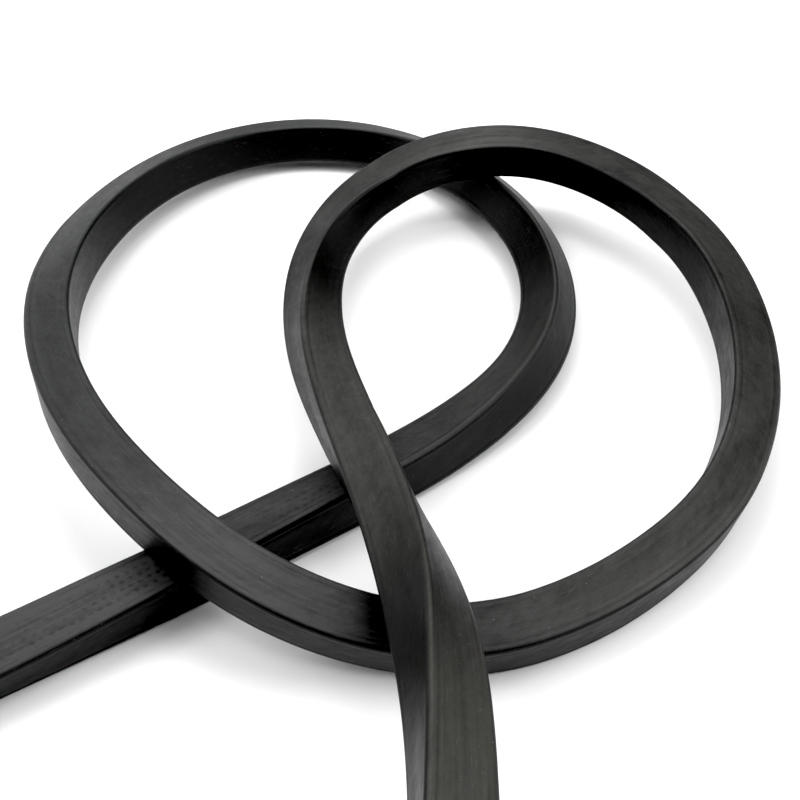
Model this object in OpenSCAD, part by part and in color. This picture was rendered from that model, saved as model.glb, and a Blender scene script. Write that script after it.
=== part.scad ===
// Rubber seal strip: one solid extruded bar of near-square section with softly
// rounded edges, cut square at both ends, lying in two overlapping loops.
// Millimetres, +Z up, the table is at Z = 0 and the origin is under the middle.

/* [Section] */
// Width of the face that is on top at the start of the strip
section_w = 15; // [14:0.5:16]
// Thickness of the strip below that face
section_h = 14; // [12:0.5:15]
// Radius of the four long edges
edge_r = 1.2; // [1:0.1:2.5]

/* [Fineness] */
// Rings of the surface between two route points
ring_steps = 4; // [2:1:6]
// Flats in each rounded edge
edge_steps = 2; // [1:1:3]

/* [Hidden] */

// Where the middle of the strip runs, one row for each hand of its length:
// x, y, height of its lowest edge over the table for a 15 by 14 section,
// and the turn of the section about the strip in degrees. At 0 the wide face
// looks up; positive turns it towards the left of the running direction.
ROUTE = [
    // start of the strip, on the table, running to the right
    [-128, -127,  0, -20],
    [-101, -110,  0, -19],
    [ -73,  -90.5, 0, -9],
    [ -44,  -70,  0,   0],
    [ -16,  -51,  0,   7],
    [  11,  -30,  0,   8],
    [  35,   -5,  0,  27],
    [  49,   26,  0,  34],
    [  52,   61,  0,  40],
    [  45,   95,  0,  48],
    [  29,  126,  0,  56],
    [   4,  151,  0,  68],
    // far side of the first loop, rising slowly
    [ -28,  160,  2.5, 78],
    [ -62,  156,  2.5, 79],
    [ -89,  134.5, 3.5, 75],
    [-106,  106,  4.5, 73],
    [-115,   74.5, 6.5, 76],
    [-116,   42, 10.5, 84],
    [-111,   10.5, 15, 88],
    [ -99.5, -23, 18.5, 90],
    [ -83,  -51.5, 19, 90],
    // over the start of the strip
    [ -60,  -77, 17,  88],
    [ -32,  -97, 11.5, 79],
    [   2, -104,  2.5, 71],
    [  35,  -98,  0,  77],
    // near side of the second loop, leaving the table again
    [  65,  -80,  0.5, 79],
    [  87,  -59,  3,  78],
    [ 102,  -31,  5.5, 82],
    [ 109.5, -1,  8,  84],
    [ 111,   31,  9,  82],
    [ 105,   63.5, 12, 85],
    [  88.5, 95.5, 14.5, 97],
    [  58,  115.5, 18.5, 102],
    // over the first loop and down through the middle
    [  24,  112, 21, 101],
    [  -7,  102.5, 13.5, 90],
    [ -24.5, 70,  9.5, 64],
    [ -29,   32.5, 10.5, 43],
    [ -25,   -6, 14.5, 20],
    [ -15.5, -39, 18,   2],
    [  -5,  -71.5, 21, -14],
    // over the second loop, one quarter turn of twist
    [   4, -104, 24, -36],
    [   9, -137, 29, -65],
    [   9.5, -170, 34, -78],
    // down to the table and the end of the strip
    [   8, -202, 32, -85],
    [   4, -233, 16, -88],
    [  -2, -263,  2, -90],
    [  -9, -293,  0, -90]
];
LAST = len(ROUTE) - 1;

// Heights follow the section, so that the crossings stay clear of each other.
rise = (section_w + section_h) / 29;

// Rows past the ends carry straight on.
function row(i) =
    i < 0 ? 2 * ROUTE[0] - ROUTE[-i] :
    i > LAST ? 2 * ROUTE[LAST] - ROUTE[2 * LAST - i] :
    ROUTE[i];

// Moved outward by a sixth of the bend, so that the smooth line meets the rows.
function knot(i) = row(i) - (row(i - 1) - 2 * row(i) + row(i + 1)) / 6;

// Uniform cubic B-spline through the knots.
function along(u) =
    let (i = floor(u), t = u - i)
    (pow(1 - t, 3) * knot(i - 1)
        + (3 * pow(t, 3) - 6 * t * t + 4) * knot(i)
        + (-3 * pow(t, 3) + 3 * t * t + 3 * t + 1) * knot(i + 1)
        + pow(t, 3) * knot(i + 2)) / 6;

// How far the turned section reaches below its middle.
function reach(roll) =
    (section_w / 2 - edge_r) * abs(sin(roll))
        + (section_h / 2 - edge_r) * abs(cos(roll)) + edge_r;

function centre(u) =
    let (p = along(u))
    [p[0], p[1], max(0, p[2]) * rise + reach(p[3])];

function unit(v) = v / norm(v);

// Outline of the section: across the thickness, then across the width.
OUTLINE = [
    for (corner = [0:3], k = [0:edge_steps])
        let (
            a = 90 * (corner + k / edge_steps),
            mid = 90 * corner + 45
        )
        [
            sign(cos(mid)) * (section_h / 2 - edge_r) + edge_r * cos(a),
            sign(sin(mid)) * (section_w / 2 - edge_r) + edge_r * sin(a)
        ]
];
SIDES = len(OUTLINE);

// The outline set square to the route at u, and turned by its roll.
function ring(u) =
    let (
        c = centre(u),
        roll = along(u)[3],
        t = unit(centre(u + 0.01) - centre(u - 0.01)),
        left = unit(cross([0, 0, 1], t)),
        up = cross(t, left),
        n1 = cos(roll) * up + sin(roll) * left,
        n2 = sin(roll) * up - cos(roll) * left
    )
    [for (q = OUTLINE) c + q[0] * n1 + q[1] * n2];

RINGS = LAST * ring_steps;
POINTS = [for (k = [0:RINGS], p = ring(k / ring_steps)) p];

function lows(pts) = [for (a = [0:2]) min([for (p = pts) p[a]])];
function highs(pts) = [for (a = [0:2]) max([for (p = pts) p[a]])];
LOW = lows(POINTS);
HIGH = highs(POINTS);
SHIFT = [-(LOW[0] + HIGH[0]) / 2, -(LOW[1] + HIGH[1]) / 2, -LOW[2]];

module seal_strip() {
    color([0.13, 0.13, 0.14])
    translate(SHIFT)
    polyhedron(
        points = POINTS,
        faces = concat(
            [[for (j = [0:SIDES - 1]) j]],
            [[for (j = [SIDES - 1:-1:0]) RINGS * SIDES + j]],
            [
                for (k = [0:RINGS - 1], j = [0:SIDES - 1], half = [0:1])
                    let (
                        a = k * SIDES + j,
                        b = k * SIDES + (j + 1) % SIDES
                    )
                    half == 0 ? [a, a + SIDES, b + SIDES] : [a, b + SIDES, b]
            ]
        ),
        convexity = 12
    );
}

seal_strip();
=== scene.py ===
import bpy, math, random
import numpy as np
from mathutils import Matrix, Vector, noise


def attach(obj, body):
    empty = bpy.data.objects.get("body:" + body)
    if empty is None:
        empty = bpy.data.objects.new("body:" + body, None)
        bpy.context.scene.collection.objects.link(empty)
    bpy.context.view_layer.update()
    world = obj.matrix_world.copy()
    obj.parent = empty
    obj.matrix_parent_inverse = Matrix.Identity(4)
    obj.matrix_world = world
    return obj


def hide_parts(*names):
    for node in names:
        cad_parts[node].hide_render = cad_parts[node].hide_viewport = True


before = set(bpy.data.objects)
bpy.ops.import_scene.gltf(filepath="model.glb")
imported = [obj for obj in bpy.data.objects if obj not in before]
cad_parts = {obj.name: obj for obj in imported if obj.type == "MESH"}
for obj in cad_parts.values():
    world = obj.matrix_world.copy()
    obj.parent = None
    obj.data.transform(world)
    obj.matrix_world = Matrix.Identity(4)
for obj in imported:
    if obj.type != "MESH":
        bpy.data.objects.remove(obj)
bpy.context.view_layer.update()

# ---------------------------------------------------------------- the route
# The same rows as the CAD source, in millimetres and degrees: x, y, height of
# the lowest edge, turn of the section. Everything built from them is in metres.
MM = 0.001
SECTION_W, SECTION_H, EDGE_R = 15.0 * MM, 14.0 * MM, 1.2 * MM
SHIFT = np.array([6.843873, 63.030589, 0.0]) * MM
ROUTE = np.array([
    [-128, -127, 0, -20], [-101, -110, 0, -19], [-73, -90.5, 0, -9],
    [-44, -70, 0, 0], [-16, -51, 0, 7], [11, -30, 0, 8], [35, -5, 0, 27],
    [49, 26, 0, 34], [52, 61, 0, 40], [45, 95, 0, 48], [29, 126, 0, 56],
    [4, 151, 0, 68], [-28, 160, 2.5, 78], [-62, 156, 2.5, 79],
    [-89, 134.5, 3.5, 75], [-106, 106, 4.5, 73], [-115, 74.5, 6.5, 76],
    [-116, 42, 10.5, 84], [-111, 10.5, 15, 88], [-99.5, -23, 18.5, 90],
    [-83, -51.5, 19, 90], [-60, -77, 17, 88], [-32, -97, 11.5, 79],
    [2, -104, 2.5, 71], [35, -98, 0, 77], [65, -80, 0.5, 79],
    [87, -59, 3, 78], [102, -31, 5.5, 82], [109.5, -1, 8, 84],
    [111, 31, 9, 82], [105, 63.5, 12, 85], [88.5, 95.5, 14.5, 97],
    [58, 115.5, 18.5, 102], [24, 112, 21, 101], [-7, 102.5, 13.5, 90],
    [-24.5, 70, 9.5, 64], [-29, 32.5, 10.5, 43], [-25, -6, 14.5, 20],
    [-15.5, -39, 18, 2], [-5, -71.5, 21, -14], [4, -104, 24, -36],
    [9, -137, 29, -65], [9.5, -170, 34, -78], [8, -202, 32, -85],
    [4, -233, 16, -88], [-2, -263, 2, -90], [-9, -293, 0, -90],
], float)
ROUTE[:, :3] *= MM
LAST = len(ROUTE) - 1


def row(i):
    if i < 0:
        return 2 * ROUTE[0] - ROUTE[-i]
    if i > LAST:
        return 2 * ROUTE[LAST] - ROUTE[2 * LAST - i]
    return ROUTE[i]


PAD = 3
KNOTS = np.array([row(i) - (row(i - 1) - 2 * row(i) + row(i + 1)) / 6
                  for i in range(-PAD, LAST + PAD + 1)])


def along(u):
    """x, y, height and turn at u, a uniform cubic B-spline through the knots."""
    u = np.asarray(u, float)
    i = np.floor(u).astype(int)
    t = (u - i)[:, None]
    k = i + PAD
    return ((1 - t) ** 3 * KNOTS[k - 1] + (3 * t**3 - 6 * t * t + 4) * KNOTS[k]
            + (-3 * t**3 + 3 * t * t + 3 * t + 1) * KNOTS[k + 1]
            + t**3 * KNOTS[k + 2]) / 6


def centre(u):
    p = along(u)
    roll = np.radians(p[:, 3])
    reach = ((SECTION_W / 2 - EDGE_R) * abs(np.sin(roll))
             + (SECTION_H / 2 - EDGE_R) * abs(np.cos(roll)) + EDGE_R)
    return np.c_[p[:, 0], p[:, 1], np.maximum(0, p[:, 2]) + reach] + SHIFT, roll


def frames(u):
    """Centre and the section's two directions at u."""
    c, roll = centre(u)
    t = centre(u + 0.01)[0] - centre(u - 0.01)[0]
    t /= np.linalg.norm(t, axis=1)[:, None]
    left = np.cross([0.0, 0.0, 1.0], t)
    left /= np.linalg.norm(left, axis=1)[:, None]
    up = np.cross(t, left)
    co, si = np.cos(roll)[:, None], np.sin(roll)[:, None]
    return c, co * up + si * left, si * up - co * left, t


U_TABLE = np.linspace(0, LAST, LAST * 64 + 1)
C_TABLE = centre(U_TABLE)[0]
S_TABLE = np.r_[0, np.cumsum(np.linalg.norm(np.diff(C_TABLE, axis=0), axis=1))]
LENGTH = float(S_TABLE[-1])

# ------------------------------------------------------------------- camera
E = math.radians(40.24)
D = 352.6 * MM
cam_data = bpy.data.cameras.new("camera")
cam_data.sensor_width = 36
cam_data.lens = 36 * 1086 / 800
cam_data.clip_start = 0.01
cam_data.clip_end = 50
cam = bpy.data.objects.new("camera", cam_data)
cam.location = (SHIFT[0], SHIFT[1] - D * math.cos(E), D * math.sin(E))
cam.rotation_euler = (math.pi / 2 - E, 0, 0)
bpy.context.scene.collection.objects.link(cam)
bpy.context.scene.camera = cam

# ----------------------------------------------------------- strip: outline
ARC = 5          # flats in each rounded edge
K = 4            # finer steps inside a refined cell, both ways
LIP_AT, DIP_AT = 0.42 * MM, 1.0 * MM       # fine lip and groove beside each edge
RIM = [0.2 * MM, LIP_AT, 0.68 * MM, DIP_AT, 1.35 * MM]
random.seed(7)


def outline():
    """Points round the section: place, outward normal, face, distance from the
    nearest rounded edge along the flat (0 on the edge itself), and that edge."""
    rows = []
    h, w = SECTION_H / 2 - EDGE_R, SECTION_W / 2 - EDGE_R
    corners = ((1, 1), (-1, 1), (-1, -1), (1, -1))
    for corner, (sh, sw) in enumerate(corners):
        for k in range(ARC + 1):
            a = math.pi / 2 * (corner + k / ARC)
            n = (math.cos(a), math.sin(a))
            rows.append(((sh * h + EDGE_R * n[0], sw * w + EDGE_R * n[1]), n, -1, 0.0, corner))
        # the flat that follows this edge, with narrow columns beside both edges
        face = (corner + 1) % 4
        n = (math.cos(math.pi / 2 * (corner + 1)), math.sin(math.pi / 2 * (corner + 1)))
        p0 = np.array((sh * h, sw * w)) + EDGE_R * np.array(n)
        p1 = np.array((corners[face][0] * h, corners[face][1] * w)) + EDGE_R * np.array(n)
        span = np.linalg.norm(p1 - p0)
        inner = 7
        mid = [RIM[-1] + (span - 2 * RIM[-1]) * k / inner for k in range(1, inner)]
        for d in RIM + mid + [span - r for r in reversed(RIM)]:
            near = corner if d < span / 2 else face
            rows.append((tuple(p0 + (p1 - p0) * d / span), n, face, min(d, span - d), near))
    return rows


OUTLINE = outline()
OUT = np.array([r[0] for r in OUTLINE])
OUT_N = np.array([r[1] for r in OUTLINE])
M = len(OUTLINE)
# Columns of the inner part of face 0, the one that looks up at the strip's start.
FACE0 = [j for j in range(M) if OUTLINE[j][2] == 0 and OUTLINE[j][3] > RIM[-1] - 1e-7]

STEP = LENGTH / round(LENGTH / (1.9 * MM))
N = round(LENGTH / STEP)

# ------------------------------------------------- marks pressed into face 1
# Rows of short dents, like the print of a woven belt: where they start and end
# along the strip, where they are deepest and by how much the rest is fainter, how
# deep, over which part of the width (0 to 1), and their pitch along and across.
DENTS = [
    (28, 92, 70, 0.55, 0.22, 0.10, 0.92, 2.57, 2.1),
    (104, 140, 120, 0.60, 0.10, 0.10, 0.90, 2.57, 2.1),
    (268, 312, 283, 0.35, 0.15, 0.20, 0.85, 2.6, 2.1),
]
dents = []
for s0, s1, peak, low, depth, w0, w1, pitch, gap in DENTS:
    width = SECTION_W - 2 * EDGE_R
    rows = int(width * (w1 - w0) / (gap * MM))
    for r in range(rows + 1):
        w = -width / 2 + width * w0 + r * gap * MM
        s = s0 + pitch * (0.5 * (r % 2) + random.uniform(-0.1, 0.1))
        while s < s1:
            patch = noise.noise(Vector((s * 0.09, w * 150, 3.7)))
            fade = min(1.0, 0.25 + (s - s0) / 20, (s1 - s) / 6)
            crest = low + (1 - low) * math.exp(-((s - peak) / 9) ** 2)
            strength = (crest * (1 + 1.1 * w / width) + 0.3 * patch) * max(0.1, fade)
            if strength > 0.05 and random.random() < 0.93:
                dents.append((s * MM, w + random.uniform(-0.15, 0.15) * MM,
                              depth * MM * strength * random.uniform(0.7, 1.3),
                              random.uniform(0.50, 0.80) * MM,
                              random.uniform(0.30, 0.44) * MM))
            s += pitch * random.uniform(0.93, 1.07)
dents = np.array(dents)
ZONES = [(int(s0 * MM / STEP), int(s1 * MM / STEP) + 1) for s0, s1, *_ in DENTS]
refined = {(i, j) for i0, i1 in ZONES for i in range(i0, i1) for j in FACE0[:-1]}


def swell(s, q):
    """Slow unevenness of an extruded bar, in metres: s along, q across."""
    a = noise.noise(Vector((s / 0.034, q[0] / 0.010, q[1] / 0.010)))
    b = noise.noise(Vector((s / 0.012 + 40, q[0] / 0.005, q[1] / 0.005)))
    return (0.075 * a + 0.020 * b) * MM


# how strong the edge's lip and groove are, at these lengths in metres
EDGE_WEAR = ((0.0, 0.30, 0.38, 0.62, 0.70, 0.84, 0.92, 1.10, 1.25), (1.0, 1.0, 0.4, 0.4, 0.9, 1.0, 0.5, 0.5, 0.35))


def lip(s, d, near, face):
    """Fine lip and groove beside a rounded edge, stronger and weaker along it."""
    if face < 0 or d > 1.9 * MM:
        return 0.0
    side = near * 2 + (face == near)
    worn = float(np.interp(s, *EDGE_WEAR))
    a = worn * (0.6 + 1.0 * noise.noise(Vector((s / 0.055, 11.3 * side, 2.1))))
    b = worn * (0.6 + 1.0 * noise.noise(Vector((s / 0.070, 7.7 * side, 9.4))))
    up = max(0.0, min(1.0, a)) * math.exp(-((d - LIP_AT) / (0.26 * MM)) ** 2)
    down = max(0.0, min(1.0, b)) * math.exp(-((d - DIP_AT) / (0.30 * MM)) ** 2)
    return (0.075 * up - 0.085 * down) * MM


# Fine columns: each coarse column j is b = K * j, with K - 1 between.
QF = np.zeros((M * K, 2))
NF = np.zeros((M * K, 2))
for j in range(M):
    jn = (j + 1) % M
    for k in range(K):
        f = k / K
        QF[j * K + k] = OUT[j] * (1 - f) + OUT[jn] * f
        n = OUT_N[j] * (1 - f) + OUT_N[jn] * f
        NF[j * K + k] = n / np.linalg.norm(n)

index, verts_ab = {}, []


def vert(a, b):
    b %= M * K
    key = (a, b)
    v = index.get(key)
    if v is None:
        v = index[key] = len(verts_ab)
        verts_ab.append(key)
    return v


faces = []
for i in range(N):
    for j in range(M):
        if (i, j) in refined:
            for x in range(K):
                for y in range(K):
                    a, b = i * K + x, j * K + y
                    faces.append((vert(a, b), vert(a + 1, b), vert(a + 1, b + 1), vert(a, b + 1)))
            continue
        jn = (j + 1) % M
        a0, a1, b0, b1 = i * K, i * K + K, j * K, j * K + K
        loop = [vert(a0, b0)]
        if (i, (j - 1) % M) in refined:
            loop += [vert(a0 + k, b0) for k in range(1, K)]
        loop.append(vert(a1, b0))
        if (i + 1, j) in refined:
            loop += [vert(a1, b0 + k) for k in range(1, K)]
        loop.append(vert(a1, b1))
        if (i, jn) in refined:
            loop += [vert(a1 - k, b1) for k in range(1, K)]
        loop.append(vert(a0, b1))
        if (i - 1, j) in refined:
            loop += [vert(a0, b1 - k) for k in range(1, K)]
        faces.append(tuple(loop))

AB = np.array(verts_ab)
s_of = AB[:, 0] * (STEP / K)
# the first and last rings stand in by the small chamfer of the cut ends
CHAMFER = 0.18 * MM
s_of = np.clip(s_of, CHAMFER, LENGTH - CHAMFER)
q_of, n_of = QF[AB[:, 1]], NF[AB[:, 1]]
c, n1, n2, tan = frames(np.interp(s_of, S_TABLE, U_TABLE))
lift = np.array([swell(s, q) for s, q in zip(s_of, q_of)])
side_of = [OUTLINE[b // K] if b % K == 0 else None for b in AB[:, 1]]
lift += np.array([lip(s, o[3], o[4], o[2]) if o else 0.0 for s, o in zip(s_of, side_of)])
fine = np.where((AB[:, 1] >= FACE0[0] * K) & (AB[:, 1] <= FACE0[-1] * K))[0]
dent_of = np.zeros(len(AB))
if len(dents):
    s_f, w_f = s_of[fine], q_of[fine][:, 1]
    order = np.argsort(s_f)
    s_sorted = s_f[order]
    cut = np.zeros(len(fine))
    for ds, dw, depth, ls, lw in dents:
        lo, hi = np.searchsorted(s_sorted, (ds - 2.2 * ls, ds + 2.2 * ls))
        k = order[lo:hi]
        cut[k] += depth * np.exp(-(((s_f[k] - ds) / ls) ** 4) - ((w_f[k] - dw) / lw) ** 2)
    lift[fine] -= np.minimum(cut, 0.3 * MM)
    dent_of[fine] = np.minimum(1.0, cut / (0.13 * MM))
# Paler skin where it looks up, partly dust and partly painted light on the top faces,
# and soft lighter and darker patches, partly uneven skin and partly painted light
# and shade: middle and half length along the strip in mm, face, strength.
# how blotchy the skin is, at these lengths in mm
MOTTLE = ((0, 0.85), (150, 0.85), (205, 0.60), (380, 0.60), (560, 0.55), (650, 0.60), (720, 0.75), (850, 0.85),
          (930, 1.10), (1010, 1.00), (1100, 0.85), (1200, 0.65), (1300, 0.85), (1385, 0.80), (1450, 0.75), (1571, 0.75))
# Several patches are painted light and shade: painted shadow beside the two crossings (88 on face 0, 781 on face 1),
# painted shade on the near wall (60 on face 1) and painted light on top faces (48, 400, 745, 850).
STAINS_AND_PAINTED_LIGHT = [
    (48, 50, 0, 0.95), (60, 90, 1, -1.00), (170, 25, 0, -0.35), (272, 28, 0, -0.45),
    (272, 50, 1, -1.10), (310, 20, 0, 0.45), (400, 80, 1, 1.00), (530, 90, 0, -0.25),
    (600, 60, 1, -0.40), (745, 60, 1, 0.70), (755, 50, 2, -0.80), (850, 60, 1, 0.35),
    (985, 95, 0, -0.60), (960, 60, 1, -0.30), (1058, 35, 1, -0.45), (1112, 30, 1, 0.70),
    (1220, 40, 1, -0.45), (1215, 30, 0, 0.25), (1320, 30, 0, 0.10), (1385, 28, 0, -0.60),
    (1432, 22, 0, -0.45), (1425, 50, 3, 0.40), (88, 15, 0, -1.20), (781, 15, 1, -1.30),
]
# paler skin on faces that look up: painted light on the top faces, partly dust
facing = n_of[:, :1] * n1 + n_of[:, 1:] * n2
looks_up = np.clip((facing[:, 2] - 0.70) / 0.28, 0, 1)
dust_and_top_light = looks_up * looks_up * (3 - 2 * looks_up)
stain_and_painted_light = np.zeros(len(AB))
for mid, half, face, strength in STAINS_AND_PAINTED_LIGHT:
    turn = face * math.pi / 2
    over = np.clip((n_of @ np.array((math.cos(turn), math.sin(turn))) - 0.6) / 0.35, 0, 1)
    away = np.clip(1 - abs(s_of / MM - mid) / half, 0, 1)
    stain_and_painted_light += strength * over * away * away * (3 - 2 * away)
POINTS = c + (q_of[:, 0] + lift * n_of[:, 0])[:, None] * n1 + (q_of[:, 1] + lift * n_of[:, 1])[:, None] * n2
REST = np.c_[s_of, q_of] / MM
verts = [tuple(p) for p in POINTS]
rest = [tuple(r) for r in REST]
# lighter colour on the rounded edges and on the lips beside them: painted edge highlight
edge_near = np.array([1.0 if o[2] < 0 else math.exp(-((o[3] - LIP_AT) / (0.35 * MM)) ** 2) for o in OUTLINE])
painted_edge_highlight = [float(edge_near[b // K]) if b % K == 0 else 0.0 for b in AB[:, 1]]
dent = [float(v) for v in dent_of]
dust_and_top_light, stain_and_painted_light = [float(v) for v in dust_and_top_light], [float(v) for v in stain_and_painted_light]

# The two cut ends: a narrow chamfer, then the flat cut.
for end, a in ((0, 0), (1, N * K)):
    s = LENGTH if end else 0.0
    c_, n1_, n2_, t_ = (x[0] for x in frames(np.interp([s], S_TABLE, U_TABLE)))
    ring = [index[(a, j * K)] for j in range(M)]
    inner = []
    for j in range(M):
        q = OUT[j] - OUT_N[j] * CHAMFER * 0.8
        inner.append(len(verts))
        verts.append(tuple(c_ + q[0] * n1_ + q[1] * n2_))
        rest.append((s / MM, q[0] / MM, q[1] / MM))
        painted_edge_highlight.append(1.0)
        dent.append(0.0)
        dust_and_top_light.append(0.0)
        stain_and_painted_light.append(0.0)
    core = []
    for j in range(M):
        q = (OUT[j] - OUT_N[j] * CHAMFER * 0.8) * 0.93
        core.append(len(verts))
        verts.append(tuple(c_ + q[0] * n1_ + q[1] * n2_))
        rest.append((s / MM, q[0] / MM, q[1] / MM))
        painted_edge_highlight.append(0.0)
        dent.append(0.0)
        dust_and_top_light.append(0.0)
        stain_and_painted_light.append(0.3)
    for r0, r1 in ((ring, inner), (inner, core)):
        for j in range(M):
            k = (j + 1) % M
            quad = (r0[j], r0[k], r1[k], r1[j])
            faces.append(quad[::-1] if end else quad)
    faces.append(tuple(core) if end == 0 else tuple(core[::-1]))

mesh = bpy.data.meshes.new("seal_strip_rubber")
mesh.from_pydata(verts, [], faces)
mesh.validate()
held = mesh.attributes.new("rest", "FLOAT_VECTOR", "POINT")
held.data.foreach_set("vector", np.array(rest, np.float32).ravel())
for name, values in (("painted_edge_highlight", painted_edge_highlight), ("dent", dent), ("dust_and_top_light", dust_and_top_light), ("stain_and_painted_light", stain_and_painted_light)):
    held = mesh.attributes.new(name, "FLOAT", "POINT")
    held.data.foreach_set("value", np.array(values, np.float32))
mesh.update()
strip = bpy.data.objects.new("seal_strip_rubber", mesh)
bpy.context.scene.collection.objects.link(strip)
for poly in mesh.polygons:
    poly.use_smooth = True
for poly in list(mesh.polygons)[-(2 * M + 1) * 2:]:
    poly.use_smooth = False


# ---------------------------------------------------------------- materials
class Tree:
    """Short forms for the nodes that the rubber needs."""

    def __init__(self, name):
        self.mat = bpy.data.materials.new(name)
        self.mat.use_nodes = True
        self.t = self.mat.node_tree
        self.t.nodes.clear()
        self.count = 0

    def add(self, kind):
        n = self.t.nodes.new(kind)
        n.location = (-1800 + 220 * (self.count // 6), 600 - 260 * (self.count % 6))
        self.count += 1
        return n

    def put(self, socket, value):
        if isinstance(value, bpy.types.NodeSocket):
            self.t.links.new(value, socket)
        else:
            socket.default_value = value

    def attribute(self, name, output):
        n = self.add("ShaderNodeAttribute")
        n.attribute_type = "GEOMETRY"
        n.attribute_name = name
        return n.outputs[output]

    def scaled(self, vector, scale, shift=(0, 0, 0)):
        n = self.add("ShaderNodeMapping")
        n.inputs["Scale"].default_value = scale
        n.inputs["Location"].default_value = shift
        self.put(n.inputs["Vector"], vector)
        return n.outputs[0]

    def noise(self, vector, detail, rough, distortion=0.0):
        n = self.add("ShaderNodeTexNoise")
        n.inputs["Scale"].default_value = 1.0
        n.inputs["Detail"].default_value = detail
        n.inputs["Roughness"].default_value = rough
        n.inputs["Distortion"].default_value = distortion
        self.put(n.inputs["Vector"], vector)
        return n.outputs[0]

    def span(self, value, lo, hi, a, b):
        n = self.add("ShaderNodeMapRange")
        n.clamp = True
        for name, v in (("Value", value), ("From Min", lo), ("From Max", hi), ("To Min", a), ("To Max", b)):
            self.put(n.inputs[name], v)
        return n.outputs[0]

    def maths(self, op, a, b):
        n = self.add("ShaderNodeMath")
        n.operation = op
        self.put(n.inputs[0], a)
        self.put(n.inputs[1], b)
        return n.outputs[0]

    def total(self, *terms):
        out = terms[0]
        for t in terms[1:]:
            out = self.maths("ADD", out, t)
        return out

    def dot(self, vector, along):
        n = self.add("ShaderNodeVectorMath")
        n.operation = "DOT_PRODUCT"
        self.put(n.inputs[0], vector)
        n.inputs[1].default_value = along
        return n.outputs["Value"]

    def mix(self, factor, a, b):
        n = self.add("ShaderNodeMix")
        n.data_type = "RGBA"
        self.put(n.inputs[0], factor)
        self.put(n.inputs[6], a)
        self.put(n.inputs[7], b)
        return n.outputs[2]


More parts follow.
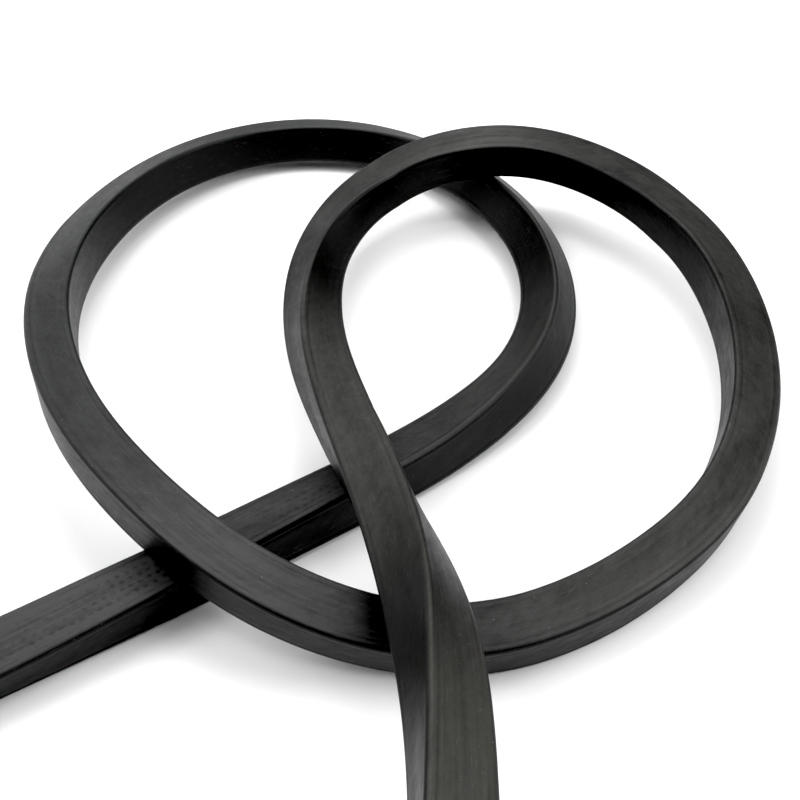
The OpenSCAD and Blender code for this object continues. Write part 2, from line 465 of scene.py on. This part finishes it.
def rubber():
    t = Tree("rubber_skin")
    out = t.add("ShaderNodeOutputMaterial")
    bsdf = t.add("ShaderNodeBsdfPrincipled")
    bsdf.inputs["IOR"].default_value = 1.5
    bsdf.inputs["Specular IOR Level"].default_value = 0.166
    t.put(out.inputs[0], bsdf.outputs[0])
    rest = t.attribute("rest", "Vector")          # mm: along the strip, then across it
    dent = t.attribute("dent", "Fac")             # 1 in a pressed mark
    # painted edge highlight on the rounded edges
    painted_edge_highlight = t.attribute("painted_edge_highlight", "Fac")               # 1 on the long edges
    dust_and_top_light = t.attribute("dust_and_top_light", "Fac")             # 1 where the skin looks up
    # patches lighter or darker, partly painted light and shade
    stain_and_painted_light = t.attribute("stain_and_painted_light", "Fac")           # lighter or darker patches

    cloud = t.noise(t.scaled(rest, (0.05, 0.15, 0.15)), 5, 0.52, 1.1)
    haze = t.noise(t.scaled(rest, (0.016, 0.07, 0.07), (5, 2, 9)), 2, 0.5, 0.6)
    slant = t.add("ShaderNodeCombineXYZ")
    for k, (by, along) in enumerate(((0.030, (1, 0.8, 0.8)), (0.30, (-0.5, 1, 0.2)), (0.30, (-0.5, 0.2, 1)))):
        t.put(slant.inputs[k], t.maths("MULTIPLY", t.dot(rest, along), by))
    smear = t.noise(slant.outputs[0], 3, 0.55, 0.8)
    streak = t.noise(t.scaled(rest, (0.018, 0.9, 0.9), (1, 4, 2)), 3, 0.6)
    crumb = t.noise(t.scaled(rest, (0.45, 0.75, 0.75), (8, 1, 3)), 4, 0.68)
    grain = t.noise(t.scaled(rest, (3.2, 3.2, 3.2)), 2, 0.6)

    # beside each long edge a faint paler band, with a darker line between the two: painted edge highlight and a painted
    # shade line over the groove
    across = t.add("ShaderNodeSeparateXYZ")
    t.put(across.inputs[0], rest)
    inset = t.maths("MAXIMUM", t.maths("SUBTRACT", SECTION_H / MM / 2, t.maths("ABSOLUTE", across.outputs[1], 0.0)),
                    t.maths("SUBTRACT", SECTION_W / MM / 2, t.maths("ABSOLUTE", across.outputs[2], 0.0)))
    wander = t.noise(t.scaled(rest, (0.02, 0.4, 0.4), (3, 6, 1)), 1, 0.5)
    pale = t.maths("MULTIPLY", t.span(inset, 2.3, 2.9, 0.0, 1.0), t.span(inset, 3.0, 4.6, 1.0, 0.0))
    dark = t.maths("MULTIPLY", t.span(inset, 1.6, 2.0, 0.0, 1.0), t.span(inset, 2.1, 2.5, 1.0, 0.0))
    band = t.total(t.maths("MULTIPLY", pale, t.span(wander, 0.35, 0.65, 0.0, 0.30)),
                   t.maths("MULTIPLY", dark, t.span(wander, 0.35, 0.65, -0.10, -0.40)))

    # lighter and darker skin: worn, smeared and clouded, with the patches, which are partly painted light and shade
    stain_and_painted_light = t.maths("MULTIPLY", stain_and_painted_light, t.span(streak, 0.30, 0.62, 0.5, 1.4))
    mottle = t.total(t.span(cloud, 0.30, 0.70, -0.28, 0.28), t.span(haze, 0.35, 0.65, -0.22, 0.22),
                     t.span(smear, 0.35, 0.66, -0.18, 0.18), t.span(streak, 0.30, 0.70, -0.14, 0.14),
                     t.span(crumb, 0.30, 0.60, -0.25, 0.10), t.span(grain, 0.30, 0.70, -0.20, 0.20))
    amount = t.add("ShaderNodeValToRGB")
    for k, (at, value) in enumerate(MOTTLE):
        stop = amount.color_ramp.elements[k] if k in (0, 1) else amount.color_ramp.elements.new(at / 1571.0)
        stop.position = at / 1571.0
        stop.color = (value / 1.5, value / 1.5, value / 1.5, 1.0)
    t.put(amount.inputs[0], t.maths("MULTIPLY", t.dot(rest, (1, 0, 0)), MM / LENGTH))
    amount = t.maths("MULTIPLY", amount.outputs[0], 1.5)
    mottle = t.maths("MULTIPLY", mottle, amount)
    # in the tone the dents are darker, painted shade in the pressed marks
    tone = t.total(mottle, t.maths("MULTIPLY", dent, -0.65), t.maths("MULTIPLY", painted_edge_highlight, 0.20), stain_and_painted_light, band)
    tone = t.span(tone, -1.0, 1.0, 0.0, 1.0)
    skin = t.mix(tone, (0.0006, 0.0006, 0.0006, 1), (0.0052, 0.0052, 0.0051, 1))
    dust_and_top_light_colour = t.mix(tone, (0.0043, 0.0043, 0.0042, 1), (0.0408, 0.0408, 0.0396, 1))
    # the paler colour where the skin looks up is painted top light, partly dust
    colour = t.mix(dust_and_top_light, skin, dust_and_top_light_colour)

    # hairline scratches, most of them along the strip, and specks of dust
    for by, lean, seed in ((0.16, 0.04, 3), (0.30, 0.9, 8)):
        line = t.add("ShaderNodeCombineXYZ")
        t.put(line.inputs[0], t.maths("MULTIPLY", t.dot(rest, (1, lean, lean)), by))
        t.put(line.inputs[1], t.maths("MULTIPLY", t.dot(rest, (-lean, 1, 0.3)), 3.2))
        t.put(line.inputs[2], t.maths("MULTIPLY", t.dot(rest, (-lean, 0.3, 1)), 3.2))
        hair = t.noise(t.scaled(line.outputs[0], (1, 1, 1), (seed, seed, seed)), 1, 0.5)
        colour = t.mix(t.span(hair, 0.69, 0.76, 0.0, 0.10), colour, (0.20, 0.20, 0.19, 1))
    cells = t.add("ShaderNodeTexVoronoi")
    cells.inputs["Scale"].default_value = 1.0
    t.put(cells.inputs["Vector"], t.scaled(rest, (0.55, 0.55, 0.55)))
    spot = t.span(cells.outputs["Distance"], 0.045, 0.095, 1.0, 0.0)
    pick = t.add("ShaderNodeSeparateColor")
    t.put(pick.inputs[0], cells.outputs["Color"])
    strength = t.maths("POWER", pick.outputs[0], 3.0)
    colour = t.mix(t.maths("MULTIPLY", spot, t.maths("MULTIPLY", strength, 0.36)), colour, (0.30, 0.29, 0.27, 1))

    # the compound is a little cooler at the start and warmer at the end
    tint = t.add("ShaderNodeValToRGB")
    stops = ((0.0, (1.0, 1.0, 1.06)), (0.14, (1.0, 1.0, 1.0)), (0.25, (0.98, 1.0, 1.0)), (0.36, (0.96, 1.0, 1.02)),
             (0.46, (0.995, 1.0, 1.035)), (0.51, (1.0, 1.0, 1.01)), (0.56, (1.01, 1.0, 0.97)), (0.70, (1.0, 1.0, 0.985)),
             (0.79, (1.0, 1.0, 1.0)), (0.84, (1.0, 1.0, 0.985)), (0.88, (1.0, 1.0, 0.94)), (1.0, (1.0, 1.0, 0.965)))
    for k, (at, value) in enumerate(stops):
        stop = tint.color_ramp.elements[k] if k in (0, 1) else tint.color_ramp.elements.new(at)
        stop.position = at
        stop.color = value + (1.0,)
    t.put(tint.inputs[0], t.maths("MULTIPLY", t.dot(rest, (1, 0, 0)), MM / LENGTH))
    tinted = t.add("ShaderNodeMix")
    tinted.data_type = "RGBA"
    tinted.blend_type = "MULTIPLY"
    tinted.inputs[0].default_value = 1.0
    t.put(tinted.inputs[6], colour)
    t.put(tinted.inputs[7], tint.outputs[0])
    t.put(bsdf.inputs["Base Color"], tinted.outputs[2])

    gloss = t.total(t.span(cloud, 0.30, 0.70, 0.06, -0.06), t.span(smear, 0.35, 0.66, 0.04, -0.04),
                    t.span(crumb, 0.30, 0.60, 0.05, -0.02), t.span(streak, 0.30, 0.70, 0.04, -0.04))
    gloss = t.total(t.maths("MULTIPLY", gloss, amount), t.maths("MULTIPLY", dent, 0.12))
    t.put(bsdf.inputs["Roughness"], t.span(gloss, -0.2, 0.3, 0.27, 0.72))

    # relief in millimetres
    relief = t.total(t.maths("MULTIPLY", streak, t.maths("MULTIPLY", amount, 0.010)),
                     t.maths("MULTIPLY", crumb, t.maths("MULTIPLY", amount, 0.018)),
                     t.maths("MULTIPLY", grain, t.maths("MULTIPLY", amount, 0.0080)))
    bump = t.add("ShaderNodeBump")
    bump.inputs["Strength"].default_value = 1.0
    bump.inputs["Distance"].default_value = 0.001
    t.put(bump.inputs["Height"], relief)
    t.put(bsdf.inputs["Normal"], bump.outputs[0])
    return t.mat


strip.data.materials.append(rubber())
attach(strip, "root")
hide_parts("seal_strip")
ring_s = np.linspace(0, LENGTH, 320)
line = frames(np.interp(ring_s, S_TABLE, U_TABLE))[0]

# -------------------------------------------------------------------- stage
floor_mesh = bpy.data.meshes.new("floor")
R = 0.72
floor_mesh.from_pydata([(R * math.sin(k * math.pi / 48), R * math.cos(k * math.pi / 48), 0)
                        for k in range(96, 0, -1)], [], [tuple(range(96))])
floor = bpy.data.objects.new("floor", floor_mesh)
floor.location = (0, 0.05, -0.00005)
bpy.context.scene.collection.objects.link(floor)
white = bpy.data.materials.new("floor_white")
white.use_nodes = True
wb = white.node_tree.nodes["Principled BSDF"]
wb.inputs["Base Color"].default_value = (0.86, 0.86, 0.86, 1)
wb.inputs["Roughness"].default_value = 0.9
wb.inputs["Specular IOR Level"].default_value = 0.1
floor.data.materials.append(white)


# A tent of softboxes around the table: direction clockwise from +Y and height in
# degrees, width and height in metres, brightness. The side of the camera is dark.
SOFTBOXES = [
    (72, 10, 0.80, 0.36, 4.0), (288, 10, 0.80, 0.36, 2.4), (324, 10, 0.80, 0.36, 2.0),
    (0, 30, 0.70, 0.42, 1.1), (72, 30, 0.70, 0.42, 0.5), (108, 30, 0.70, 0.42, 9.3),
    (252, 30, 0.70, 0.42, 4.8), (0, 52, 0.62, 0.45, 4.7), (90, 52, 0.62, 0.45, 4.6),
    (135, 52, 0.62, 0.45, 0.8), (225, 52, 0.62, 0.45, 2.2), (270, 52, 0.62, 0.45, 7.7),
    (315, 52, 0.62, 0.45, 3.0), (0, 74, 0.50, 0.42, 3.7), (90, 74, 0.50, 0.42, 6.8),
    (180, 74, 0.50, 0.42, 2.1), (270, 74, 0.50, 0.42, 2.5),
]
MIDDLE = Vector((0, 0.05, 0))
for n, (az, el, wide, high, bright) in enumerate(SOFTBOXES):
    az, el = math.radians(az), math.radians(el)
    lamp = bpy.data.lights.new("softbox_%02d" % n, "AREA")
    lamp.shape = "RECTANGLE"
    lamp.size, lamp.size_y = wide, high
    lamp.energy = math.pi * wide * high * bright
    box = bpy.data.objects.new("softbox_%02d" % n, lamp)
    away = Vector((math.sin(az) * math.cos(el), math.cos(az) * math.cos(el), math.sin(el)))
    box.location = MIDDLE + 1.3 * away
    box.rotation_euler = (-away).to_track_quat("-Z", "Y").to_euler()
    box.visible_camera = False
    bpy.context.scene.collection.objects.link(box)

# White beyond the table for the camera, and dark for everything else.
world = bpy.data.worlds.new("studio")
world.use_nodes = True
wt = world.node_tree
back = wt.nodes["Background"]
seen = wt.nodes.new("ShaderNodeLightPath")
pale = wt.nodes.new("ShaderNodeMix")
pale.data_type = "RGBA"
pale.inputs[6].default_value = (0.0, 0.0, 0.0, 1)
pale.inputs[7].default_value = (1.0, 1.0, 1.0, 1)
wt.links.new(seen.outputs["Is Camera Ray"], pale.inputs[0])
wt.links.new(pale.outputs[2], back.inputs[0])
bpy.context.scene.world = world

# Plain display of the light, with the deep blacks of a product photograph.
vs = bpy.context.scene.view_settings
vs.view_transform = "Standard"
vs.look = "None"
vs.use_curve_mapping = True
vs.curve_mapping.black_level = (0.0146, 0.0146, 0.0146)
vs.curve_mapping.update()
